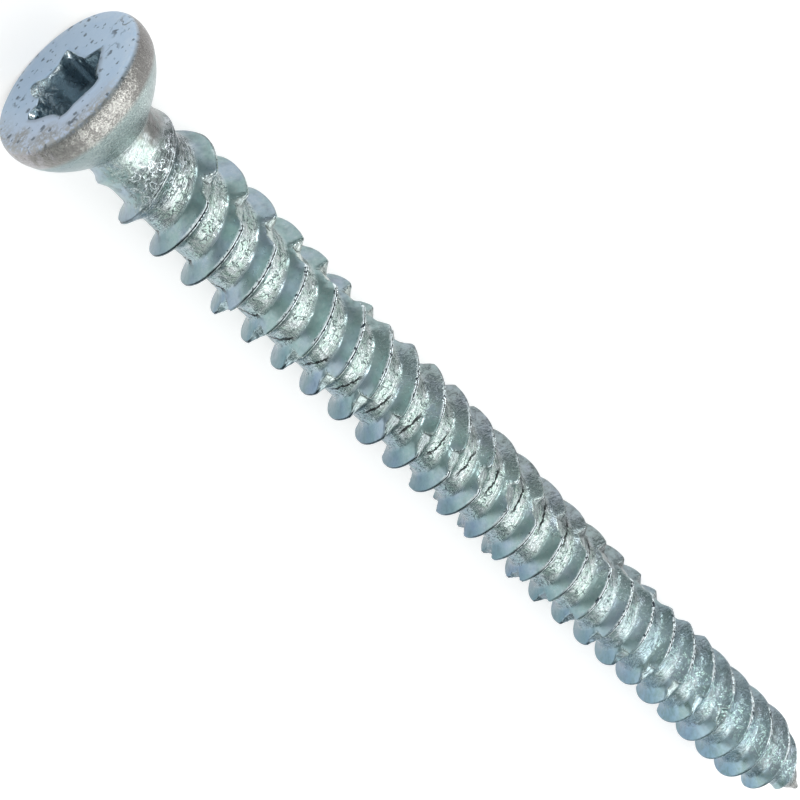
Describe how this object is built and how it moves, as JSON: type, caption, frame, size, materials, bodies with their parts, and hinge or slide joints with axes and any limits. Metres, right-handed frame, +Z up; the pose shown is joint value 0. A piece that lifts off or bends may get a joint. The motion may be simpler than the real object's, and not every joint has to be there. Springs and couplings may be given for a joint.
{
  "type": "concrete screw",
  "caption": "Countersunk concrete screw in bright zinc: star-shaped drive recess, deep notched thread along the whole shank and a tapered point, turned straight into a drilled masonry hole.",
  "frame": {"origin": "middle of the bounding box, on the surface that the screw lies on", "axes": "+X along the screw from its head to its tip, +Z up; the axis drops 1.43 degrees towards the tip, because the head is wider than the thread"},
  "size_m": [0.092, 0.011, 0.0109],
  "materials": {
    "zinc_plated_steel": "bright blue zinc plating, smooth on the thread's sides and rough in its roots"
  },
  "bodies": {
    "root": {"concrete_screw": "zinc_plated_steel"}
  },
  "joints": []
}
